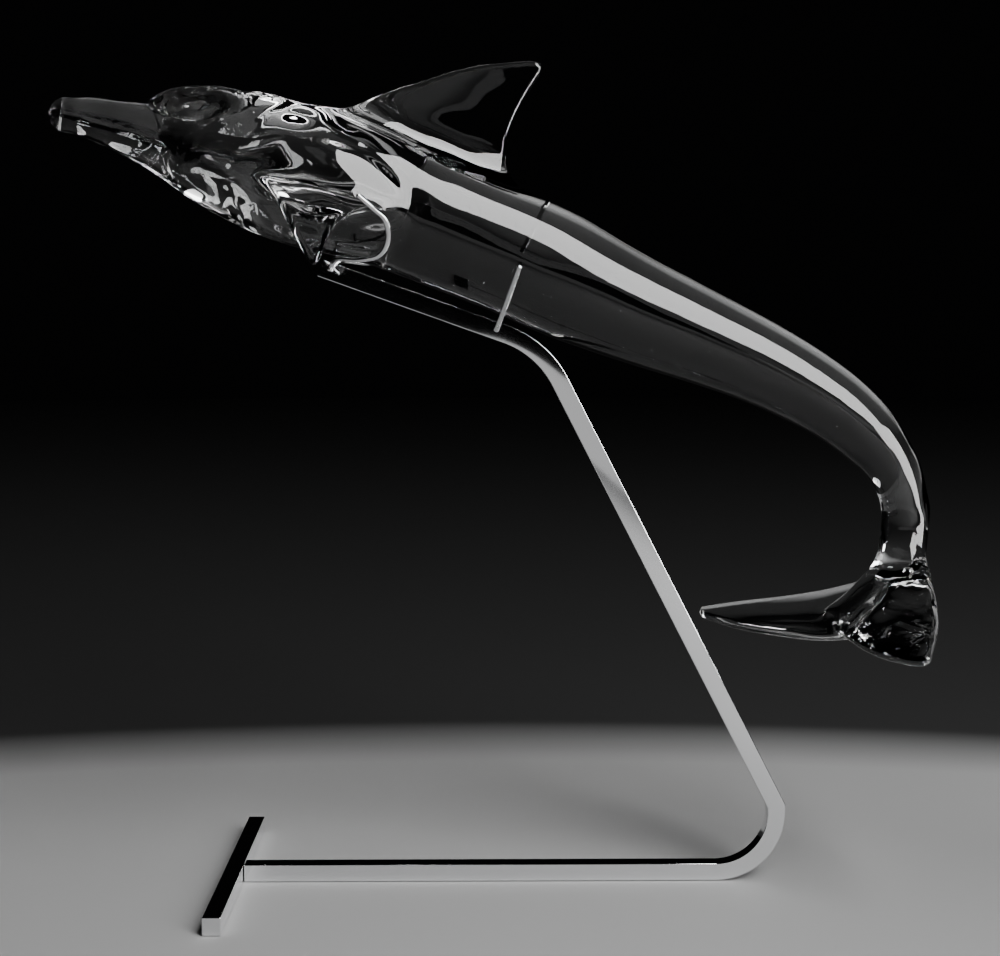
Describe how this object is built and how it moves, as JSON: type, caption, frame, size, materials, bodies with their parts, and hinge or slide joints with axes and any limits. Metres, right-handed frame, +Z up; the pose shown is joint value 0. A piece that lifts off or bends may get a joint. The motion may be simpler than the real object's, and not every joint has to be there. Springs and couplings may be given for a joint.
{
  "type": "crystal dolphin sculpture",
  "caption": "Clear solid crystal dolphin, head raised and tail curled down, resting on the sloped arm of a polished square-bar stand with cradle rods and a foot crossbar.",
  "frame": {"origin": "on the surface the stand rests on, under the middle of the whole work", "axes": "+X towards the tail, along the rail; +Y away from the viewer, across the foot crossbar; +Z up"},
  "size_m": [0.4998, 0.179, 0.4699],
  "materials": {
    "crystal": "clear, fire-polished, fully transparent",
    "polished_steel": "mirror-polished bar and rod"
  },
  "bodies": {
    "root": {"dolphin": "crystal", "stand_bar": "polished_steel", "foot_crossbar": "polished_steel", "side_pin_near": "polished_steel", "side_pin_far": "polished_steel", "fin_hook_near": "polished_steel", "fin_hook_far": "polished_steel"}
  },
  "joints": []
}
